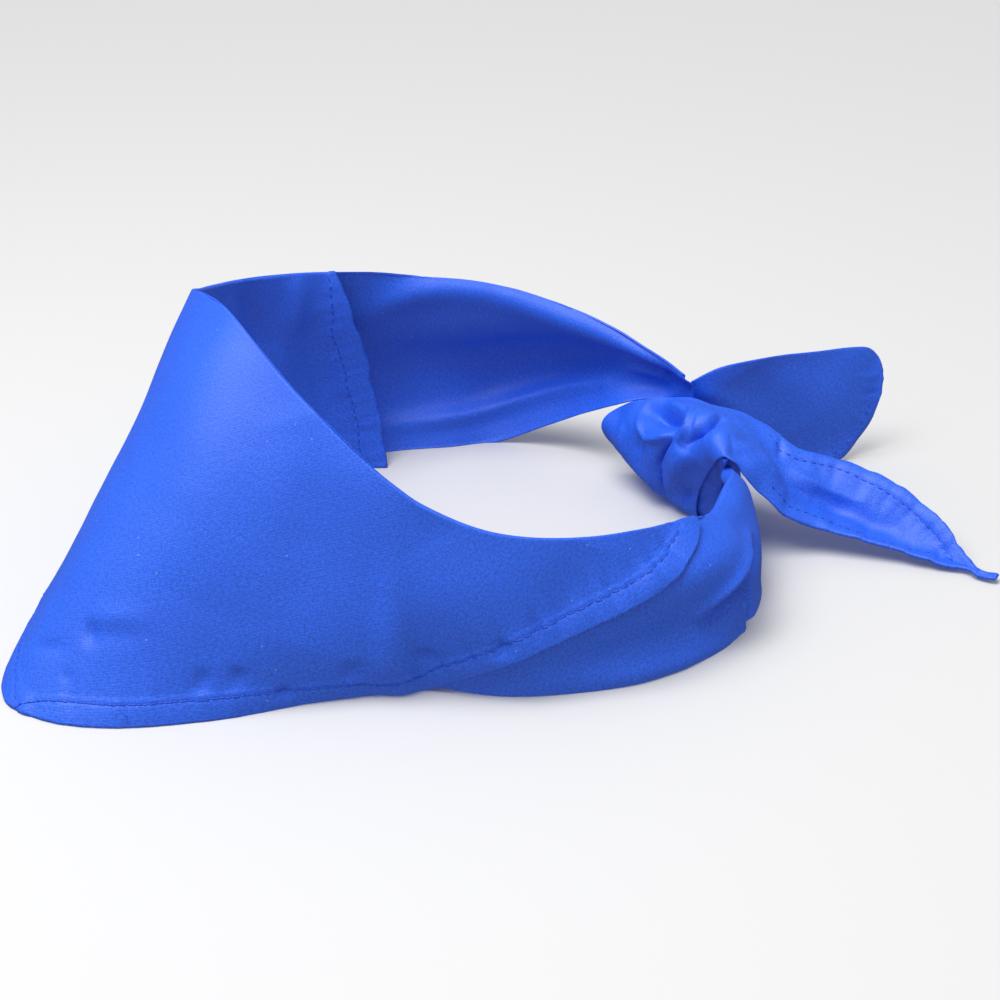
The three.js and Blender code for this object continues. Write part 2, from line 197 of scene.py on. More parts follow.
def puckers(run, seed):
    """Small uneven gathers that a machine seam draws up along its length."""
    wide = np.sin(run / 0.7 + 2.1 * np.sin(run / 11 + seed))
    wider = np.sin(run / 1.2 + 1.7 * np.sin(run / 17 + 2 * seed))
    widest = np.sin(run / 2.2 + 2.6 * np.sin(run / 7 + 3 * seed))
    return (0.55 * wide + 0.55 * wider + 0.55 * widest) * (0.65 + 0.35 * np.sin(run / 23 + seed))


def hem_height(away, run, seed, seam=STITCH_IN):
    """How a sewn hem stands off, is drawn in by its stitches and puckers, at distances from its edge."""
    puff = 0.25 * np.exp(-((away - 0.4 * seam) / (0.55 * seam)) ** 2)
    groove = -0.22 * np.exp(-((away - seam) / 0.6) ** 2)
    gather = puckers(run, seed) * 0.42 * np.exp(-(np.abs(away - seam - 0.3) / 4.4) ** 1.6)
    return puff + groove + gather


def hem_thickness(away, seam=STITCH_IN):
    """One layer of cloth, and three over the width of the hem."""
    return CLOTH + (HEM_THICK - CLOTH) / (1 + np.exp((away - seam * HEM / STITCH_IN) / 0.25))


def seam_points(away, distance, *surfaces):
    """The surfaces' values where a seam crosses each row of a grid. Away rises along the row."""
    past = away > distance
    rows = np.flatnonzero(past.any(axis=1) & ~past[:, 0])
    column = past[rows].argmax(axis=1)
    low = away[rows, column - 1]
    share = ((distance - low) / (away[rows, column] - low))[:, None]
    return [s[rows, column - 1] * (1 - share) + s[rows, column] * share for s in surfaces]


def stitch_row(points, normals):
    """The middle points, upward directions and thicknesses of a seam's stitches. Both ends of each
    stitch sink into the cloth."""
    run = run_along(points)
    first = np.arange(int(run[-1] / STITCH))[:, None]
    marks = np.array([0.08, 0.18, 0.33, 0.53, 0.68, 0.78])
    at = (first + marks + 0.06 * np.sin(first * 2.3)) * STITCH
    middle = points_at(at, run, points)
    up = unit(points_at(at, run, normals))
    lift = np.array([-0.45, 0.05, 0.32, 0.32, 0.05, -0.45]) * THREAD
    thick = np.array([0.6, 0.95, 1.0, 1.0, 0.95, 0.6]) * THREAD
    return middle + up * lift[:, None], up, np.broadcast_to(thick, at.shape)


def new_piece(name, points, faces, places=None):
    """A piece from points in mm, and perhaps each point's place on the flat cloth."""
    mesh = bpy.data.meshes.new(name)
    mesh.from_pydata(((points + NECK_CENTRE) * MM).tolist(), [], faces)
    if places is not None:
        uv = mesh.uv_layers.new(name="cloth")
        corners = np.empty(len(mesh.loops), int)
        mesh.loops.foreach_get("vertex_index", corners)
        uv.data.foreach_set("uv", (places[corners] * MM).ravel())
    mesh.shade_smooth()
    piece = bpy.data.objects.new(name, mesh)
    bpy.context.scene.collection.objects.link(piece)
    return piece


THREAD_SIDES = 6


def thread_body(name, rows):
    """One mesh of short threads, from rows of middle points, upward directions and thicknesses."""
    skins = []
    faces = []
    first = 0
    turns = np.linspace(0, 2 * math.pi, THREAD_SIDES, endpoint=False)
    for middle, up, thick in rows:
        aside = np.cross(up, unit(np.gradient(middle, axis=1)))
        ring = up[:, :, None] * np.cos(turns)[:, None] + aside[:, :, None] * np.sin(turns)[:, None]
        skin = middle[:, :, None] + ring * thick[:, :, None, None] / 2
        n, m = skin.shape[:2]
        index = first + np.arange(n * m * THREAD_SIDES).reshape(n, m, THREAD_SIDES)
        first += index.size
        after = np.roll(index, -1, axis=2)
        sides = np.stack([index[:, :-1], index[:, 1:], after[:, 1:], after[:, :-1]], -1)
        faces += sides.reshape(-1, 4).tolist()
        faces += index[:, 0].tolist() + index[:, -1, ::-1].tolist()
        skins.append(skin.reshape(-1, 3))
    return new_piece(name, np.concatenate(skins), faces)


def both_faces(grid, thickness, away, distance):
    """The stitches of a seam on both faces of a sheet, where away rises along the rows."""
    normal = grid_normals(grid)
    half = thickness[..., None] / 2
    middle, up, depth = seam_points(away, distance, grid, normal, half)
    return [stitch_row(middle + up * depth, up), stitch_row(middle - up * depth, -up)]


def cloth_body(name, grid, thickness, flat_at, plain_sides=()):
    """A closed body of cloth round a grid of middle points in mm. Its rim is rounded, but for the sides
    that lie against another body. flat_at holds each point's place on the flat cloth, for the weave."""
    normal = grid_normals(grid)
    n, m = grid.shape[:2]
    half = thickness[..., None] / 2
    index = np.arange(n * m).reshape(n, m)
    quads = np.stack([index[:-1, :-1], index[:-1, 1:], index[1:, 1:], index[1:, :-1]], -1).reshape(-1, 4)
    outward = np.zeros_like(grid)
    sides = {"start": (np.s_[0, :], np.s_[1, :]), "end": (np.s_[-1, :], np.s_[-2, :]),
             "top": (np.s_[:, 0], np.s_[:, 1]), "foot": (np.s_[:, -1], np.s_[:, -2])}
    for side, (edge, inside) in sides.items():
        if side not in plain_sides:
            outward[edge] += unit(grid[edge] - grid[inside])
    outward /= np.maximum(np.linalg.norm(outward, axis=-1, keepdims=True), 1)
    rim = grid + outward * half * 0.9
    loop = np.concatenate([index[0, :-1], index[:-1, -1], index[-1, :0:-1], index[:0:-1, 0]])
    following = np.roll(loop, -1)
    total = n * m
    ring = np.full(total, -1)
    ring[loop] = 2 * total + np.arange(len(loop))
    faces = np.concatenate([
        quads,
        quads[:, ::-1] + total,
        np.stack([following, loop, ring[loop], ring[following]], -1),
        np.stack([ring[following], ring[loop], loop + total, following + total], -1),
    ])
    points = np.concatenate([
        (grid + normal * half).reshape(-1, 3),
        (grid - normal * half).reshape(-1, 3),
        rim.reshape(-1, 3)[loop],
    ])
    points[:, 2] = np.maximum(points[:, 2], 0)
    places = flat_at.reshape(-1, 2)
    places = np.concatenate([places, places, places[loop]])
    piece = new_piece(name, points, faces.tolist(), places)
    if plain_sides:
        plain = np.zeros(len(points), bool)
        for side in plain_sides:
            edge = index[sides[side][0]]
            plain[edge] = True
            plain[edge + total] = True
        ends = np.empty(len(piece.data.edges) * 2, int)
        piece.data.edges.foreach_get("vertices", ends)
        sharp = plain[ends.reshape(-1, 2)].all(axis=1)
        piece.data.attributes.new("sharp_edge", "BOOLEAN", "EDGE").data.foreach_set("value", sharp)
    piece.data.validate()
    return piece


def evenly(places, line, step):
    """Places whose points stand evenly along a line."""
    run = run_along(line)
    return np.interp(np.linspace(0, run[-1], round(run[-1] / step) + 1), run, places)


def even_ways(rows, low, high, share, step):
    """Turns from low to high whose sections stand evenly along the cloth, at a share down the wall."""
    ways = np.linspace(low, high, 1500)
    return evenly(ways, wall(rows, ways, np.full((len(ways), 1), share))[:, 0], step)


def flat_places(grid):
    """Where each point of a grid lies on the flat cloth: along its middle line, and across from it."""
    middle = grid.shape[1] // 2
    across = np.linalg.norm(np.diff(grid, axis=1), axis=2)
    down = np.concatenate([np.zeros((len(grid), 1)), np.cumsum(across, axis=1)], axis=1)
    run = run_along(grid[:, middle])[:, None] + 0 * down
    return np.stack([run, down - down[:, middle:middle + 1]], -1)


def fold_heights(grid, folds, at):
    """How far a table of folds lifts each point. Each runs through three places that at() turns to
    points, fades out at both its ends, and is as sharp as its power is low."""
    height = np.zeros(grid.shape[:2])
    for k in range(len(folds["width"])):
        f = {name: column[k] for name, column in folds.items()}
        t = np.linspace(0, 1, 13)
        weights = ((1 - t) * (1 - 2 * t), 4 * t * (1 - t), t * (2 * t - 1))
        ways = sum(w * f[name] for w, name in zip(weights, ("way", "way_mid", "way_end")))
        shares = sum(w * f[name] for w, name in zip(weights, ("down", "down_mid", "down_end")))
        line = at(ways, shares)
        away = np.full(grid.shape[:2], 1e9)
        run = np.zeros(grid.shape[:2])
        for i in range(len(line) - 1):
            step = line[i + 1] - line[i]
            share = np.clip((grid - line[i]) @ step / (step @ step), 0, 1)
            gap = np.linalg.norm(grid - line[i] - share[..., None] * step, axis=-1)
            run = np.where(gap < away, (i + share) / (len(line) - 1), run)
            away = np.minimum(gap, away)
        fade = np.sin(math.pi * np.clip(run, 0, 1)) ** 0.8
        height += f["height"] * np.exp(-(away / f["width"]) ** f["power"]) * fade
    return height


OUTER_FIRST = -1.0
INNER_FIRST = -0.502
OUTER_LAST = 0.672
ROW_STEP = 0.95  # from one row of the grid to the next
shared_ways = even_ways(OUTER_ROWS, INNER_FIRST, OUTER_LAST, 0.45, ROW_STEP)
far_ways = even_ways(OUTER_ROWS, OUTER_FIRST, INNER_FIRST, 0.5, ROW_STEP)[:-1]
outer_ways = np.concatenate([far_ways, shared_ways])
COLUMNS = 72
HEM_COLUMNS = 24
HEM_ZONE = 10  # above the foot, where the columns stand closer


def shares_down(rows, ways, cover):
    """Shares down a wall for each row: even columns, and closer ones over its hem."""
    tries = wall(rows, ways, cover[:, None] * np.linspace(0, 1, 30)[None, :])
    length = np.linalg.norm(np.diff(tries, axis=1), axis=2).sum(axis=1)[:, None]
    near = np.minimum(HEM_ZONE, length / 2)
    upper = (length - near) * np.linspace(0, 1, COLUMNS, endpoint=False)[None, :]
    lower = length - near * np.linspace(1, 0, HEM_COLUMNS)[None, :]
    return cover[:, None] * np.concatenate([upper, lower], axis=1) / length


cover = np.interp(outer_ways, HEM_ROWS["way"], HEM_ROWS["cover"])
outer_wall = wall(OUTER_ROWS, outer_ways, shares_down(OUTER_ROWS, outer_ways, cover))
outer_normal = grid_normals(outer_wall)


def long_edge(line):
    """An edge with a straight run of 30 mm past its first point, beyond the corner of the cloth."""
    return np.concatenate([line[:1] + unit(line[0] - line[8]) * 30, line])


NEAR_CORNER = 0.045  # the ways between which the two hems meet at the tip
FAR_CORNER = -0.055
FAR_HEM = 1 / 0.68  # this hem is turned wider than the near one
near_away, near_run = near_line(outer_wall, long_edge(outer_wall[outer_ways > NEAR_CORNER, -1]))
far_away, far_run = near_line(outer_wall, long_edge(outer_wall[outer_ways < FAR_CORNER, -1][::-1]))
far_away = far_away / FAR_HEM
hem_away = np.minimum(near_away, far_away)
hem_run = np.where(near_away < far_away, near_run, far_run + 500)
# past the inner layer's end the edge is plain
hem_part = np.clip((outer_ways + 0.56) / 0.06, 0, 1)[:, None]

# Folds, each with three places it runs through, its width and height in mm, and its sharpness
FOLD = "way down way_mid down_mid way_end down_end width height power"
BIB_FOLDS = table(FOLD, [
    (0.000, 0.05, 0.091, 0.26, 0.095, 0.65, 14, 1.4, 2),
    (0.144, 0.05, 0.176, 0.31, 0.162, 0.75, 13, -1.4, 2),
    (0.304, 0.15, 0.339, 0.46, 0.303, 0.80, 11, 1.1, 2),
    (0.496, 0.04, 0.455, 0.40, 0.407, 0.72, 9, -1.6, 2),
    (0.567, 0.17, 0.538, 0.45, 0.502, 0.64, 5, 1.1, 2),
    (-0.006, 0.87, 0.012, 0.84, 0.024, 0.82, 1.3, -0.9, 1.6),
    (0.033, 0.75, 0.037, 0.78, 0.040, 0.81, 1.8, -1.1, 2),
    (0.033, 0.75, 0.047, 0.73, 0.077, 0.715, 3.2, 0.7, 2),
    (0.034, 0.78, 0.050, 0.76, 0.078, 0.745, 3.0, -0.55, 2),
    (0.031, 0.90, 0.034, 0.89, 0.036, 0.88, 1.0, -0.8, 1.6),
    (0.110, 0.92, 0.110, 0.88, 0.109, 0.84, 1.8, -1.1, 2),
    (0.131, 0.92, 0.131, 0.87, 0.132, 0.84, 2.0, -1.1, 2),
    (0.158, 0.97, 0.160, 0.94, 0.162, 0.91, 1.8, -1.0, 2),
    (0.218, 0.90, 0.220, 0.85, 0.223, 0.80, 2.2, -1.0, 2),
    (0.291, 0.80, 0.295, 0.75, 0.298, 0.71, 2.2, -1.0, 2),
    (0.384, 0.72, 0.386, 0.65, 0.388, 0.58, 2.2, -1.0, 2),
    (-0.540, 0.30, -0.710, 0.02, -0.960, 0.34, 4.5, -3.2, 2),
    (-0.520, 0.60, -0.750, 0.52, -0.985, 0.58, 10.0, 4.2, 2),
    (-0.540, 0.88, -0.750, 0.84, -0.960, 0.74, 3.2, -3.2, 2),
    (-0.540, 1.02, -0.750, 1.00, -0.930, 1.00, 3.0, 1.6, 2),
    (-0.859, 0.60, -0.928, 0.635, -0.962, 0.70, 2.0, -1.4, 1.7),
    (-0.865, 0.82, -0.928, 0.80, -0.967, 0.83, 2.4, 1.5, 2),
    (-0.880, 0.35, -0.930, 0.42, -0.966, 0.48, 2.0, 1.1, 2),
    (-0.900, 0.12, -0.936, 0.20, -0.975, 0.30, 2.2, -0.9, 2),
    (-0.960, 0.44, -0.964, 0.48, -0.968, 0.50, 1.6, 1.6, 2),
])


def on_outer(ways, downs):
    return wall(OUTER_ROWS, ways, downs[:, None])[:, 0]


# the ridge of the near band lifts the outer layer's end too
BAND_RIDGE = (0.545, 0.38, 0.632, 0.33, 0.745, 0.27, 7.0, 3.6, 2)
WIDE_WAVES = (26, 0.5, 1)  # length and height in mm, and where the pattern starts
SMALL_WAVES = (9, 0.12, 2)

lift = LAYER_GAP + rippled(outer_wall, *WIDE_WAVES) + rippled(outer_wall, *SMALL_WAVES)
lift += fold_heights(outer_wall, table(FOLD, [BAND_RIDGE]), on_outer)
lift += hem_height(hem_away, hem_run, 1) * hem_part + fold_heights(outer_wall, BIB_FOLDS, on_outer)
outer_grid = outer_wall + outer_normal * lift[..., None]


def curve(start, leave, arrive, end, count):
    """Points on a curve from start up to end for each row, drawn toward two handles between."""
    t = np.linspace(0, 1, count, endpoint=False)[None, :, None]
    a, b, c, d = (p[:, None] for p in (start, leave, arrive, end))
    return a * (1 - t) ** 3 + 3 * b * t * (1 - t) ** 2 + 3 * c * t ** 2 * (1 - t) + d * t ** 3


def rolled_top(grid, below, count):
    """The first half of the fold along the top edge, from its crest down to the grid's first column.
    below is the first column of the layer on the fold's other side."""
    top = grid[:, 0]
    gap = np.maximum(np.linalg.norm(top - below, axis=1)[:, None], 0.8)
    handle = unit(top - grid[:, 1]) * gap * 0.7
    across = (below - top) / 2
    crest = (top + below) / 2 + np.array([0, 0, 1]) * gap * 0.5
    return curve(crest, crest - across * 0.55, top + handle * 0.55, top, count)


CREST_COLUMNS = 5
other_gap = LAYER_GAP - rippled(outer_wall, *WIDE_WAVES)
other_top = (outer_wall - outer_normal * other_gap[..., None])[:, 0]
bib_grid = np.concatenate([rolled_top(outer_grid, other_top, CREST_COLUMNS), outer_grid], axis=1)
bib_away = np.concatenate([np.full((len(outer_ways), CREST_COLUMNS), 99.0), hem_away], axis=1)
bib_thick = CLOTH + (hem_thickness(bib_away) - CLOTH) * hem_part
bib = cloth_body("bib_layer_cloth", bib_grid, bib_thick, flat_places(bib_grid), ["top"])
from_foot = np.s_[:, :CREST_COLUMNS - 1:-1]
far_side_away = np.where(near_away > STITCH_IN, far_away, 0)
bib_seams = []
for away, from_turn in ((near_away, -0.06), (far_side_away, -0.53)):
    away = np.where(outer_ways[:, None] > from_turn, away, 0)
    bib_seams += both_faces(bib_grid[from_foot], bib_thick[from_foot], away[:, ::-1], STITCH_IN)


def bib_surface(ways, downs):
    """Points on the bib's outer face and how it faces there, at turns and at shares down it."""
    normals = grid_normals(bib_grid)
    face = bib_grid + normals * bib_thick[..., None] / 2
    points = []
    ups = []
    for way, share in zip(ways, downs):
        i = np.searchsorted(outer_ways, way)
        lengths = run_along(face[i, CREST_COLUMNS:])
        j = min(CREST_COLUMNS + np.searchsorted(lengths, share * lengths[-1]), face.shape[1] - 1)
        points.append(face[i, j])
        ups.append(normals[i, j])
    return points, ups


# the loose end of the seam's thread
start, start_up = bib_surface([0.072, 0.078, 0.072], [0.955, 0.955, 0.985])
aside = unit(start[1] - start[0])
down = unit(start[2] - start[0])
LOOSE_END = np.array([  # how far it runs aside, down and off the cloth, in mm
    (0.0, 0.0, 0.1), (0.3, 0.6, 0.4), (1.0, 1.0, 0.5), (1.5, 1.6, 0.4), (1.4, 2.4, 0.35), (1.9, 2.9, 0.3),
])
loose_at = start[0] + LOOSE_END @ np.stack([aside, down, start_up[0]])
bib_seams.append((loose_at[None], np.broadcast_to(start_up[0], (1, 6, 3)), np.full((1, 6), THREAD * 0.6)))
bib_stitches = thread_body("bib_stitches", bib_seams)


def linear(colour):
    """An sRGB hex colour as linear light."""
    values = [int(colour[i:i + 2], 16) / 255 for i in (1, 3, 5)]
    return [v / 12.92 if v <= 0.04045 else ((v + 0.055) / 1.055) ** 2.4 for v in values] + [1]


def add(tree, kind, settings=(), links=()):
    """A node with its settings and its incoming links, each an input's name or number and an output."""
    node = tree.nodes.new(kind)
    for name, value in dict(settings).items():
        if isinstance(name, str) and hasattr(node, name):
            setattr(node, name, value)
        else:
            node.inputs[name].default_value = value
    for name, output in dict(links).items():
        tree.links.new(output, node.inputs[name])
    return node


def empty_material(name):
    """A material without nodes, and its node tree."""
    material = bpy.data.materials.new(name)
    material.use_nodes = True
    material.node_tree.nodes.clear()
    return material, material.node_tree


BANDS = 0.314  # a wave texture's bands stand this far apart at scale 1
THREADS_APART = 0.0007  # in metres, as every size in a material


def woven_cotton(part, turn):
    """Plain weave in combed yarn, piece-dyed royal blue. It is matt, with a faint sheen where its fibres
    stand up. Its threads lie at a turn, in degrees, to the length of the piece on the flat cloth."""
    material, tree = empty_material("royal blue woven cotton, " + part)
    place = add(tree, "ShaderNodeTexCoord")
    cloth = add(tree, "ShaderNodeMapping", {"Rotation": (0, 0, math.radians(turn))},
                {"Vector": place.outputs["UV"]})
    on_cloth = {"Vector": cloth.outputs[0]}
    # the real threads stand 0.35 mm apart, and are drawn wider apart so that they show
    threads = {"Scale": BANDS / THREADS_APART, "Distortion": 2.5, "Detail": 3, "Detail Scale": 1.5}
    warp = add(tree, "ShaderNodeTexWave", {"bands_direction": "X", **threads}, on_cloth)
    weft = add(tree, "ShaderNodeTexWave", {"bands_direction": "Y", **threads}, on_cloth)
    weave = add(tree, "ShaderNodeMath", {"operation": "MULTIPLY"},
                {0: warp.outputs["Fac"], 1: weft.outputs["Fac"]})
    # slubs: single thick threads, in both directions
    uneven = {"Scale": 1100, "Detail": 3, "Roughness": 0.65}
    long = add(tree, "ShaderNodeMapping", {"Scale": (1, 1.9, 1)}, on_cloth)
    wide = add(tree, "ShaderNodeMapping", {"Scale": (1.9, 1, 1)}, on_cloth)
    slub_warp = add(tree, "ShaderNodeTexNoise", uneven, {"Vector": long.outputs[0]})
    slub_weft = add(tree, "ShaderNodeTexNoise", uneven, {"Vector": wide.outputs[0]})
    slubs = add(tree, "ShaderNodeMath", {"operation": "ADD"},
                {0: slub_warp.outputs["Fac"], 1: slub_weft.outputs["Fac"]})
    shade = add(tree, "ShaderNodeMapRange", {"From Min": 0.84, "From Max": 1.16},
                {"Value": slubs.outputs[0]})
    blue = add(tree, "ShaderNodeMix", {"data_type": "RGBA", 6: linear("#004ac8"), 7: linear("#0862f0")},
               {0: shade.outputs[0]})
    # soft clouds of a slightly deeper dye
    dye = add(tree, "ShaderNodeTexNoise", {"Scale": 55, "Detail": 4, "Roughness": 0.6}, on_cloth)
    deeper = add(tree, "ShaderNodeMapRange", {"From Min": 0.35, "From Max": 0.7, "To Max": 0.3},
                 {"Value": dye.outputs["Fac"]})
    dyed = add(tree, "ShaderNodeMix", {"data_type": "RGBA", 7: linear("#004bcb")},
               {0: deeper.outputs[0], 6: blue.outputs[2]})
    # lint: single pale fibres caught in the weave, about one in four square centimetres
    specks = add(tree, "ShaderNodeTexVoronoi", {"Scale": 230}, on_cloth)
    close = add(tree, "ShaderNodeMath", {"operation": "LESS_THAN", 1: 0.052},
                {0: specks.outputs["Distance"]})
    chosen = add(tree, "ShaderNodeSeparateColor", {}, {"Color": specks.outputs["Color"]})
    some = add(tree, "ShaderNodeMath", {"operation": "GREATER_THAN", 1: 0.55}, {0: chosen.outputs[0]})
    lint = add(tree, "ShaderNodeMath", {"operation": "MULTIPLY"}, {0: close.outputs[0], 1: some.outputs[0]})
    half_lint = add(tree, "ShaderNodeMath", {"operation": "MULTIPLY", 1: 0.45}, {0: lint.outputs[0]})
    colour = add(tree, "ShaderNodeMix", {"data_type": "RGBA", 7: linear("#81aefc")},
                 {0: half_lint.outputs[0], 6: dyed.outputs[2]})
    height = add(tree, "ShaderNodeMath", {"operation": "MULTIPLY_ADD", 1: 0.4},
                 {0: weave.outputs[0], 2: slubs.outputs[0]})
    bump = add(tree, "ShaderNodeBump", {"Strength": 0.4, "Distance": 0.0002}, {"Height": height.outputs[0]})
    shader = add(tree, "ShaderNodeBsdfPrincipled", {"Roughness": 0.6, "Specular IOR Level": 0.8,
                                                    "Sheen Weight": 0.02, "Sheen Roughness": 0.5},
                 {"Base Color": colour.outputs[2], "Normal": bump.outputs[0]})
    add(tree, "ShaderNodeOutputMaterial", {}, {"Surface": shader.outputs[0]})
    return material


# polyester sewing thread, dyed to match and a little glossier than the cloth
thread, tree = empty_material("blue polyester sewing thread")
place = add(tree, "ShaderNodeTexCoord")
uneven_dye = add(tree, "ShaderNodeTexNoise", {"Scale": 500, "Detail": 1},
                 {"Vector": place.outputs["Object"]})
thread_blue = add(tree, "ShaderNodeMix", {"data_type": "RGBA", 6: linear("#0a3fb4"), 7: linear("#1c52cc")},
                  {0: uneven_dye.outputs["Fac"]})
thread_shader = add(tree, "ShaderNodeBsdfPrincipled", {"Roughness": 0.4},
                    {"Base Color": thread_blue.outputs[2]})
add(tree, "ShaderNodeOutputMaterial", {}, {"Surface": thread_shader.outputs[0]})

bib.data.materials.append(woven_cotton("bib_layer", 24.5))
bib_stitches.data.materials.append(thread)
for piece in (bib, bib_stitches):
    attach(piece, "root")
    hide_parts("bib_layer")


# The inner layer: the back of the folded cotton, turned in at the top fold. Its hemmed end hangs
# inside the far side, and past the bib it runs on by itself as the near band, gathered to the knot.
NEAR_LAST = 0.965
INNER_ROWS = table(WALL, [
    (-0.502, 0.500, 0.00, -0.12, 0.00, -0.03, 0.03, 0.06, -10),
    (-0.470, 0.531, 0.00, -0.065, 0.00, 0.00, 0.03, 0.03, -8),
    (-0.420, 0.570, 0.00, -0.03, 0.00, 0.03, 0.06, 0.03, -4),
    (-0.365, 0.62, 0.00, 0.00, 0.00, 0.06, 0.06, 0.03, 0),
    (-0.281, 0.705, 0.00, 0.05, 0.00, 0.04, 0.05, 0.03, 0),
    (-0.225, 0.772, 0.00, 0.13, 0.00, 0.01, 0.03, 0.03, 0),
    (-0.140, 0.895, -0.01, 0.23, 0.00, 0.00, 0.00, 0.03, 0),
    (-0.067, 0.985, -0.03, 0.29, 0.00, 0.00, 0.00, 0.03, 0),
    (-0.006, 1.00, -0.05, 0.29, 0.00, 0.00, 0.00, 0.03, 0),
    (0.067, 0.91, -0.03, 0.23, 0.00, 0.03, 0.03, 0.03, 0),
    (0.115, 0.80, -0.03, 0.145, 0.00, 0.03, 0.06, 0.03, 0),
    (0.170, 0.675, -0.02, 0.05, 0.00, 0.03, 0.06, 0.06, 0),
    (0.230, 0.518, 0.00, -0.02, 0.00, 0.06, 0.10, 0.10, 0),
    (0.262, 0.438, 0.00, -0.045, 0.00, 0.06, 0.10, 0.11, 0),
    (0.297, 0.358, 0.00, -0.07, 0.00, 0.06, 0.12, 0.13, 0),
    (0.364, 0.251, 0.00, -0.003, 0.00, 0.06, 0.09, 0.07, 0),
    (0.424, 0.198, 0.00, 0.042, 0.00, 0.06, 0.10, 0.10, 0),
    (0.497, 0.158, 0.00, 0.077, 0.00, 0.06, 0.10, 0.10, 0),
    (0.552, 0.133, 0.00, 0.112, 0.00, 0.06, 0.10, 0.10, 0),
    (0.603, 0.098, -0.02, 0.137, 0.00, 0.06, 0.10, 0.10, 0),
    (0.642, 0.075, -0.02, 0.152, 0.00, 0.10, 0.13, 0.10, 0),
    (0.679, 0.035, -0.02, 0.167, 0.00, 0.13, 0.16, 0.10, 0),
    (0.727, -0.01, -0.03, 0.175, 0.00, 0.15, 0.16, 0.08, 0),
    (0.782, -0.035, -0.05, 0.165, 0.00, 0.13, 0.16, 0.08, 0),
    (0.824, -0.03, -0.04, 0.14, 0.00, 0.12, 0.13, 0.07, 3),
    (0.867, -0.04, 0.00, 0.08, 0.05, 0.11, 0.10, 0.05, 8),
    (0.903, -0.08, 0.02, 0.05, 0.10, 0.05, 0.05, 0.00, 14),
    (0.935, -0.12, 0.03, 0.03, 0.20, 0.02, 0.02, 0.00, 14),
    (0.965, -0.17, 0.02, 0.02, 0.30, 0.00, 0.00, 0.00, 10),
])
INNER_COLUMNS = 86
INNER_CREST = 9  # columns over the fold
END_ROWS = 30  # rows over which the waves of the end hem fade
SEAM_ROWS = 60  # rows that hold the end hem's seam


def even_shares(rows, columns):
    """The same even shares from 0 to 1 in each row of a grid."""
    return np.tile(np.linspace(0, 1, columns), (len(rows), 1))


near_ways = even_ways(INNER_ROWS, OUTER_LAST, NEAR_LAST, 0.4, 0.75)[1:]
inner_ways = np.concatenate([shared_ways, near_ways])
inner_shares = even_shares(inner_ways, INNER_COLUMNS)
inner_wall = wall(INNER_ROWS, inner_ways, inner_shares)
inner_normal = grid_normals(inner_wall)
end_wave = 0.3 * np.sin(inner_shares[0] * 19) + 0.2 * np.sin(inner_shares[0] * 41 + 1)
past_end = unit(inner_wall[0] - inner_wall[6])
inner_wall[:END_ROWS] += past_end * end_wave[:, None] * np.linspace(1, 0, END_ROWS)[:, None, None]
end_away, end_run = near_line(inner_wall, inner_wall[0])
# the end hem is narrow at the fold and wider below it
end_away = end_away / (0.4 + 0.85 * np.clip(inner_shares / 0.3, 0, 1))


def on_inner(ways, downs):
    return wall(INNER_ROWS, ways, downs[:, None])[:, 0]


BAND_FOLDS = table(FOLD, [
    (-0.340, 0.00, -0.365, 0.16, -0.390, 0.34, 3.5, 1.6, 2),
    (-0.300, 0.05, -0.330, 0.22, -0.350, 0.45, 4.0, -1.4, 2),
    (-0.440, 0.00, -0.430, 0.16, -0.410, 0.34, 4.0, -1.4, 2),
    (-0.445, 0.20, -0.450, 0.49, -0.455, 0.85, 4.5, 1.5, 2),
    (-0.400, 0.30, -0.400, 0.55, -0.410, 0.95, 5.0, -1.2, 2),
    BAND_RIDGE,
    (0.785, 0.30, 0.694, 0.473, 0.625, 0.69, 2.0, 3.0, 1.4),
    (0.785, 0.42, 0.708, 0.57, 0.635, 0.78, 3.0, -4.0, 2),
    (0.734, 0.42, 0.712, 0.70, 0.720, 1.02, 0.9, 2.0, 1.5),
    (0.744, 0.44, 0.741, 0.76, 0.741, 1.04, 2.4, -4.0, 2),
    (0.380, 0.84, 0.560, 0.74, 0.690, 0.80, 6.5, -2.8, 2),
    (0.480, 0.93, 0.603, 0.945, 0.690, 0.95, 2.5, 1.0, 2),
    (0.730, 0.04, 0.792, 0.10, 0.860, 0.12, 4.0, 1.0, 2),
])
inner_lift = rippled(inner_wall, *WIDE_WAVES) + rippled(inner_wall, *SMALL_WAVES) - LAYER_GAP
inner_lift += fold_heights(inner_wall, BAND_FOLDS, on_inner) - hem_height(end_away, end_run, 4)
# where the bib's folds go in, the layer behind it gives way
inner_lift += np.minimum(0, fold_heights(inner_wall, BIB_FOLDS, on_outer)) * (inner_ways > -0.3)[:, None]
inner_grid = inner_wall + inner_normal * inner_lift[..., None]
shared = len(shared_ways)
facing = np.concatenate([outer_grid[-shared:, 0], (inner_wall + inner_normal * LAYER_GAP)[shared:, 0]])
neck_roll = rolled_top(inner_grid, facing, INNER_CREST)


def band_roll(grid, count):
    """The near band's own top edge, where several layers turn inward in one soft roll."""
    top = grid[:, 0]
    up = unit(top - grid[:, 1])
    start = top - inner_normal[:, 0] * 4.0 - up * 2.6
    return curve(start, start + up * 3.2, top + up * 0.8, top, count)


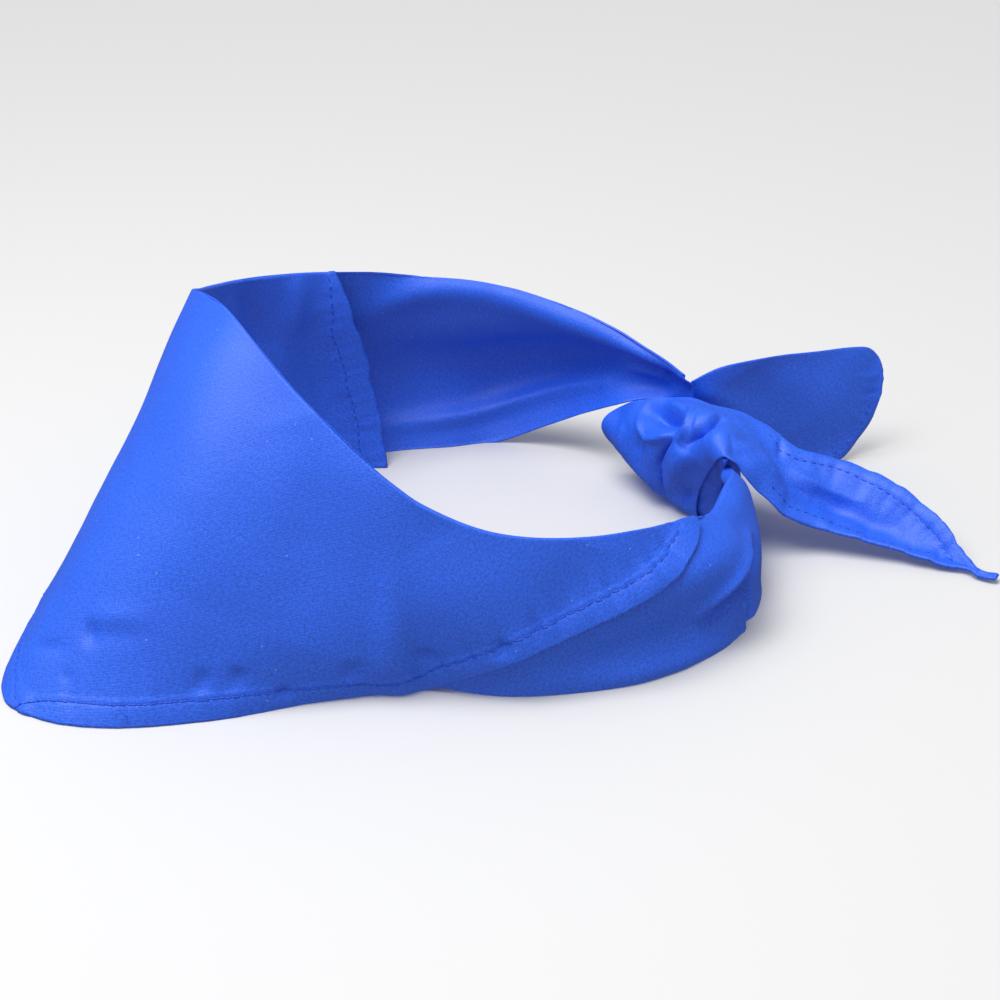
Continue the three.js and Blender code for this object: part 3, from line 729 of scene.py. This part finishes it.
rolled = np.clip((inner_ways - 0.69) / 0.07, 0, 1) * np.clip((0.95 - inner_ways) / 0.06, 0, 1)
rolled = (rolled * rolled * (3 - 2 * rolled))[:, None, None]
neck_roll = neck_roll * (1 - rolled) + band_roll(inner_grid, INNER_CREST) * rolled
neck_grid = np.concatenate([neck_roll, inner_grid], axis=1)
neck_away = np.concatenate([np.repeat(end_away[:, :1], INNER_CREST, axis=1), end_away], axis=1)
neck_thick = hem_thickness(neck_away)
inner = cloth_body("inner_layer_cloth", neck_grid, neck_thick, flat_places(neck_grid), ["top"])
at_end = np.s_[:SEAM_ROWS, INNER_CREST:]
end_seams = both_faces(
    neck_grid[at_end].swapaxes(0, 1), neck_thick[at_end].T, neck_away[at_end].T, STITCH_IN)
inner_stitches = thread_body("inner_stitches", end_seams)
inner.data.materials.append(woven_cotton("inner_layer", 40))
inner_stitches.data.materials.append(thread)
for piece in (inner, inner_stitches):
    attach(piece, "root")
    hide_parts("inner_layer")


# The knot: the far band wound once round the near one, packed tight. What shows is the turned cloth
# of its strand, from under the knot up over its crest.
# A strand's rows: its two edges a and b in shares of its length and height, and how it bows between
STRAND = "side_a back_a high_a side_b back_b high_b bow_high bow_mid bow_low"
KNOT_ROWS = table(STRAND, [
    (-0.45, 0.13, 0.00, 0.61, 0.05, 0.00, 0.00, 0.00, 0.00),
    (-0.65, -0.15, 0.20, 0.53, -0.10, 0.00, 0.02, 0.02, 0.02),
    (-0.735, -0.305, 0.50, 0.51, -0.17, 0.11, 0.08, 0.11, 0.08),
    (-0.645, -0.225, 0.70, 0.58, -0.21, 0.35, 0.13, 0.19, 0.13),
    (-0.29, -0.13, 0.90, 0.82, -0.285, 0.69, 0.11, 0.17, 0.12),
    (0.03, 0.06, 0.99, 1.14, -0.38, 0.975, 0.06, 0.10, 0.06),
    (-0.10, 0.26, 0.84, 0.94, -0.13, 0.77, 0.05, 0.05, 0.05),
    (-0.16, 0.39, 0.52, 0.77, 0.13, 0.48, 0.05, 0.05, 0.05),
    (-0.23, 0.35, 0.19, 0.68, 0.19, 0.19, 0.00, 0.00, 0.00),
])


def strand_rows(rows, root, length):
    """A strand's rows in mm, from shares of its length and of the knot's height."""
    side, back = root
    placed = {}
    for edge in "ab":
        placed["side_" + edge] = side * KNOT_HEIGHT + rows["side_" + edge] * length
        placed["back_" + edge] = NECK_RADIUS + back * KNOT_HEIGHT + rows["back_" + edge] * length
        placed["high_" + edge] = np.maximum(0, rows["high_" + edge]) * KNOT_HEIGHT
    for name in ("bow_high", "bow_mid", "bow_low"):
        placed[name] = rows[name] * KNOT_HEIGHT
    return placed


def strand(rows, places, shares):
    """Points of a winding strip at places through its rows (one each) and shares across it (a grid)."""
    def edges(at):
        row = smooth(rows, at)
        return [np.stack([row[axis + edge] for axis in ("side_", "back_", "high_")], -1) for edge in "ab"]
    a, b = edges(places)
    a_next, b_next = edges(places + 0.002)
    a_last, b_last = edges(places - 0.002)
    across = (b - a)[:, None]
    outward = unit(np.cross(across, (a_next + b_next - a_last - b_last)[:, None]))
    row = smooth(rows, places)
    bows = bow(shares, *(row[name][:, None] for name in ("bow_high", "bow_mid", "bow_low")))
    return a[:, None] + across * shares[..., None] + outward * bows[..., None]


def even_places(rows, low, high, step):
    """Places through a strand's rows that stand evenly along it."""
    places = np.linspace(low, high, 800)
    return evenly(places, strand(rows, places, np.full((len(places), 1), 0.5))[:, 0], step)


def lump_body(name, grid, flat_at):
    """A closed body whose skin is a grid that runs once round it, drawn together at both its edges."""
    cap_rings = ((0.86, 0.8), (0.6, 1.4), (0.3, 1.7))   # each ring's size, and how far out it lies
    caps = []
    for column, inside in ((0, 1), (-1, -2)):
        middle = grid[:, column].mean(axis=0)
        out = (grid[:, column] - grid[:, inside]).mean(axis=0)
        rings = [middle + (grid[:, column] - middle) * size + out * rise for size, rise in cap_rings]
        caps.append([np.stack(rings, 1), middle + out * 1.8])
    skin = np.concatenate([caps[0][0][:, ::-1], grid, caps[1][0]], axis=1)
    places = np.concatenate([np.repeat(flat_at[:, :1], len(cap_rings), 1), flat_at,
                             np.repeat(flat_at[:, -1:], len(cap_rings), 1)], axis=1)
    n, m = skin.shape[:2]
    index = np.arange(n * m).reshape(n, m)
    after = np.roll(index, -1, axis=0)
    faces = np.stack([index[:, :-1], index[:, 1:], after[:, 1:], after[:, :-1]], -1).reshape(-1, 4).tolist()
    points = np.concatenate([skin.reshape(-1, 3), [caps[0][1]], [caps[1][1]]])
    for i in range(n):
        j = (i + 1) % n
        faces.append([int(index[i, 0]), int(index[j, 0]), n * m])
        faces.append([int(index[j, -1]), int(index[i, -1]), n * m + 1])
    places = np.concatenate([places.reshape(-1, 2), places[0, :1], places[0, -1:]])
    points[:, 2] = np.maximum(points[:, 2], 0)
    piece = new_piece(name, points, faces, places)
    piece.data.validate()
    return piece


FRONT_TAIL = 83
FRONT_ROOT = (0.58, -0.16)
FRONT_ROWS = table(STRAND, [
    (-0.10, 0.14, 0.97, 0.25, -0.03, 0.83, 0.06, 0.08, 0.05),
    (0.00, 0.23, 0.87, 0.28, 0.035, 0.62, 0.03, 0.03, 0.03),
    (0.12, 0.27, 0.71, 0.325, 0.10, 0.40, 0.00, -0.03, -0.03),
    (0.22, 0.405, 0.60, 0.385, 0.20, 0.26, -0.03, -0.10, -0.06),
    (0.40, 0.51, 0.45, 0.525, 0.33, 0.14, -0.03, -0.10, -0.10),
    (0.575, 0.548, 0.26, 0.66, 0.44, 0.10, -0.03, -0.06, -0.06),
    (0.70, 0.535, 0.10, 0.73, 0.50, 0.05, 0.00, -0.02, -0.02),
    (0.765, 0.532, 0.04, 0.775, 0.512, 0.02, 0.00, 0.00, 0.00),
    (0.82, 0.560, 0.01, 0.832, 0.540, 0.00, 0.00, 0.00, 0.00),
])
knot_rows = strand_rows(KNOT_ROWS, (0, 0), KNOT_HEIGHT)
tail_rows = strand_rows(FRONT_ROWS, FRONT_ROOT, FRONT_TAIL)
front_rows = {name: np.concatenate([knot_rows[name][:6], tail_rows[name]]) for name in tail_rows}


def on_strand(places, shares):
    return strand(front_rows, places, shares[:, None])[:, 0]


KNOT_FOLDS = table(FOLD, [
    (3.70, 0.12, 3.53, 0.32, 3.56, 0.47, 0.9, 1.5, 1.5),
    (3.50, 0.42, 3.80, 0.51, 4.22, 0.55, 0.9, 1.6, 1.5),
    (3.75, 0.10, 4.28, 0.33, 4.50, 0.52, 3.0, -4.8, 2.4),
    (4.40, 0.10, 4.62, 0.24, 4.75, 0.36, 1.6, 1.0, 1.6),
    (4.12, 0.60, 3.51, 0.632, 2.60, 0.71, 0.8, -2.5, 1.5),
    (3.10, 0.69, 2.40, 0.72, 1.60, 0.735, 0.8, -2.2, 1.5),
    (4.10, 0.75, 3.59, 0.79, 2.30, 0.82, 3.0, 1.8, 2),
    (3.40, 0.42, 2.95, 0.46, 2.10, 0.55, 3.4, -1.8, 2),
    (3.10, 0.18, 2.60, 0.24, 1.80, 0.34, 2.4, 0.9, 1.8),
    (3.00, 0.93, 2.60, 0.925, 2.00, 0.92, 1.0, -0.9, 1.6),
    (2.70, 0.56, 2.10, 0.61, 1.40, 0.66, 1.1, 0.8, 1.5),
    (4.15, 0.64, 4.68, 0.53, 4.93, 0.18, 0.8, 1.9, 1.5),
    (4.22, 0.69, 4.80, 0.575, 5.05, 0.22, 0.6, 0.6, 1.5),
    (4.14, 0.74, 4.96, 0.63, 5.60, 0.36, 1.5, -4.4, 1.8),
    (4.80, 0.80, 5.45, 0.68, 6.30, 0.42, 2.6, 1.0, 2),
    (5.10, 0.92, 5.90, 0.84, 6.80, 0.60, 2.2, -0.9, 2),
    (5.50, 0.80, 6.70, 0.72, 8.60, 0.70, 3.4, 2.2, 2),
    (5.60, 1.03, 7.00, 1.01, 9.00, 0.99, 2.6, -1.7, 2),
    (7.55, 0.03, 7.62, 0.16, 7.60, 0.34, 1.2, -0.8, 2),
    (8.00, 0.30, 8.90, 0.40, 9.60, 0.36, 1.8, 1.2, 1.7),
    (8.60, 0.50, 9.37, 0.58, 10.3, 0.60, 3.0, -1.5, 2),
    (7.60, 0.60, 8.20, 0.52, 8.80, 0.56, 1.6, -0.9, 1.7),
])
closed_rows = {name: np.concatenate([column[-2:], column, column[:3]]) for name, column in knot_rows.items()}
KNOT_ROUND = 250  # rows round the knot
KNOT_COLUMNS = 96
KNOT_WAVES = (7, 0.9, 3)
KNOT_IN = 0.9  # how far the lump lies inside the front tail's cloth
lump_places = np.linspace(2, 11, KNOT_ROUND, endpoint=False)
lump_grid = strand(closed_rows, lump_places, even_shares(lump_places, KNOT_COLUMNS))
lump_lift = fold_heights(lump_grid, KNOT_FOLDS, on_strand) + rippled(lump_grid, *KNOT_WAVES) - KNOT_IN
lump_grid += grid_normals(lump_grid) * lump_lift[..., None]
knot = lump_body("knot_cloth", lump_grid, flat_places(lump_grid))
knot.data.materials.append(woven_cotton("knot", 35))
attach(knot, "root")
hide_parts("knot")


# The front tail: the strand's own end, that comes over the knot's crest and falls outward to its
# pointed corner. Both its edges are hemmed.
TAIL_SEAM = 3.4  # its row of stitches, from the edge
FRONT_COLUMNS = 76
TAIL_WAVES = (15, 1.2, 6)
front_places = even_places(front_rows, 0.2, 14, 0.58)
front_shares = even_shares(front_places, FRONT_COLUMNS)
front_sheet = strand(front_rows, front_places, front_shares)
front_normal = grid_normals(front_sheet)
tail_part = np.clip(front_places - 6.8, 0, 1)[:, None]  # 0 on the knot, 1 past it
edge_a, run_a = near_line(front_sheet, front_sheet[:, 0])
edge_b, run_b = near_line(front_sheet, front_sheet[:, -1])
hem_gap = np.minimum(edge_a, edge_b)
hem_at = np.where(edge_a < edge_b, run_a, run_b + 300)
front_lift = CLOTH / 2 + rippled(front_sheet, *KNOT_WAVES)
front_lift += hem_height(hem_gap, hem_at, 7, TAIL_SEAM) * tail_part
front_lift += fold_heights(front_sheet, KNOT_FOLDS, on_strand)
front_lift += rippled(front_sheet, *TAIL_WAVES) * tail_part
front_grid = front_sheet + front_normal * front_lift[..., None]
front_thick = CLOTH + (hem_thickness(hem_gap, TAIL_SEAM) - CLOTH) * tail_part
front_tail = cloth_body("front_tail_cloth", front_grid, front_thick, flat_places(front_grid))
# the seams run where the tail is wide enough for both
wide = (front_places > 7.1) & (edge_a[:, -1] > 2 * TAIL_SEAM + 0.6)
tail_grid = front_grid[wide]
tail_thick = front_thick[wide]
tail_seams = both_faces(tail_grid, tail_thick, edge_a[wide], TAIL_SEAM)
tail_seams += both_faces(tail_grid[:, ::-1], tail_thick[:, ::-1], edge_b[wide][:, ::-1], TAIL_SEAM)
front_stitches = thread_body("front_tail_stitches", tail_seams)
front_tail.data.materials.append(woven_cotton("front_tail", 35))
front_stitches.data.materials.append(thread)
for piece in (front_tail, front_stitches):
    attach(piece, "root")
    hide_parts("front_tail")


# The back tail: the near band's own end, that leaves the knot behind and stands on its edge. Its end
# is cut to a blunt corner and hemmed.
BACK_TAIL = 60
BACK_ROOT = (-0.2, 0.268)
BACK_SEAM = 3.0  # its row of stitches, from the edge
BACK_COLUMNS = 64
HEM_FROM = 4.4  # the place from which its edge shows a hem
SEWN_FROM = 4.6
BACK_ROWS = table(STRAND, [
    (0.00, 0.00, 1.02, -0.04, 0.04, 0.45, 0.00, 0.00, 0.00),
    (0.07, 0.10, 1.15, -0.01, 0.13, 0.16, 0.03, 0.03, 0.03),
    (0.115, 0.25, 1.19, 0.05, 0.265, 0.03, 0.03, 0.06, 0.03),
    (0.14, 0.445, 1.18, 0.115, 0.45, 0.00, 0.03, 0.06, 0.03),
    (0.16, 0.665, 1.13, 0.19, 0.605, 0.00, 0.03, 0.05, 0.03),
    (0.175, 0.82, 1.10, 0.235, 0.755, 0.03, 0.03, 0.03, 0.03),
    (0.188, 0.925, 1.06, 0.235, 0.865, 0.20, 0.02, 0.02, 0.02),
    (0.205, 0.98, 0.96, 0.235, 0.95, 0.40, 0.00, 0.00, 0.00),
    (0.23, 0.995, 0.84, 0.245, 0.985, 0.61, 0.00, 0.00, 0.00),
])
back_rows = strand_rows(BACK_ROWS, BACK_ROOT, BACK_TAIL)


def on_back(places, shares):
    return strand(back_rows, places, shares[:, None])[:, 0]


BACK_FOLDS = table(FOLD, [
    (1.90, 0.08, 2.40, 0.32, 3.30, 0.66, 6, -1.4, 2),
    (3.00, 0.10, 3.90, 0.35, 4.60, 0.75, 7, 0.9, 2),
    (0.20, 0.20, 1.10, 0.30, 2.20, 0.55, 3, 0.9, 2),
])
back_places = even_places(back_rows, 0, 8, 0.65)
back_shares = even_shares(back_places, BACK_COLUMNS)
back_sheet = strand(back_rows, back_places, back_shares)
back_normal = grid_normals(back_sheet)
hemmed_edge = np.concatenate([back_sheet[back_places > HEM_FROM, -1][:-1], back_sheet[-1, ::-1]])
back_away, back_run = near_line(back_sheet, hemmed_edge)
back_lift = rippled(back_sheet, 18, 0.6, 9) + fold_heights(back_sheet, BACK_FOLDS, on_back)
back_lift += hem_height(back_away, back_run, 11, BACK_SEAM) * np.clip(back_away / 2.5, 0.15, 0.8)
back_grid = back_sheet + back_normal * back_lift[..., None]
back_thick = hem_thickness(back_away, BACK_SEAM)
back_tail = cloth_body("back_tail_cloth", back_grid, back_thick, flat_places(back_grid))
sewn_away = (back_places > SEWN_FROM)[:, None] * back_away
back_seams = both_faces(back_grid[:, ::-1], back_thick[:, ::-1], sewn_away[:, ::-1], BACK_SEAM)
back_stitches = thread_body("back_tail_stitches", back_seams)
back_tail.data.materials.append(woven_cotton("back_tail", 8))
back_stitches.data.materials.append(thread)
for piece in (back_tail, back_stitches):
    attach(piece, "root")
    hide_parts("back_tail")


# The studio: a wide pale floor of matt paper in a white room, a round softbox over the bib, a broad
# ceiling light, and the camera at the photo's angle.
FLOOR_SIZE = 6.0
bpy.ops.mesh.primitive_plane_add(size=FLOOR_SIZE, location=(0, 0, 0))
floor = bpy.context.object
floor.name = "studio_floor"
paper, tree = empty_material("matt white studio paper")
paper_shader = add(tree, "ShaderNodeBsdfPrincipled", {"Base Color": linear("#c6c6c6"), "Roughness": 0.9})
add(tree, "ShaderNodeOutputMaterial", {}, {"Surface": paper_shader.outputs[0]})
floor.data.materials.append(paper)
floor.visible_diffuse = False  # it throws no light up on the cloth
floor.visible_glossy = False

world = bpy.data.worlds.new("soft white room")
world.use_nodes = True
room = world.node_tree.nodes["Background"]
room.inputs["Color"].default_value = (1, 1, 1, 1)
room.inputs["Strength"].default_value = 0.64
world.cycles_visibility.glossy = False  # the cloth mirrors the lamps alone
bpy.context.scene.world = world

bpy.ops.object.light_add(type="AREA", location=(0.0, -0.23, 0.52))
softbox = bpy.context.object
softbox.name = "overhead_softbox"
softbox.data.energy = 1.7
softbox.data.shape = "DISK"
softbox.data.size = 0.40
softbox.rotation_euler = Vector((0.0, -0.23, 0.50)).to_track_quat("Z", "Y").to_euler()

bpy.ops.object.light_add(type="SUN")
ceiling = bpy.context.object
ceiling.name = "ceiling_light"
ceiling.data.energy = 2.05
ceiling.data.angle = math.radians(40)
ceiling.rotation_euler = Vector((0.05, -0.28, 0.96)).to_track_quat("Z", "Y").to_euler()

VIEW_TURN = 57  # degrees round from the bib towards the near side
VIEW_RISE = 27  # degrees up from the floor
VIEW_DISTANCE = 0.640
AIM_RIGHT = 0.0081  # how far to the right of the neck's middle the camera looks
AIM_UP = 0.0163  # and how far above it
LENS = 85
turn = math.radians(VIEW_TURN)
rise = math.radians(VIEW_RISE)
back = Vector((math.sin(turn) * math.cos(rise), -math.cos(turn) * math.cos(rise), math.sin(rise)))
right = Vector((math.cos(turn), math.sin(turn), 0))
camera = bpy.data.cameras.new("camera")
camera.lens = LENS
camera.clip_start = 0.01
eye = bpy.data.objects.new("camera", camera)
bpy.context.scene.collection.objects.link(eye)
aim = Vector(NECK_CENTRE * MM) + right * AIM_RIGHT + back.cross(right) * AIM_UP
eye.location = aim + back * VIEW_DISTANCE
eye.rotation_euler = back.to_track_quat("Z", "Y").to_euler()
bpy.context.scene.camera = eye
bpy.context.scene.view_settings.view_transform = "Standard"
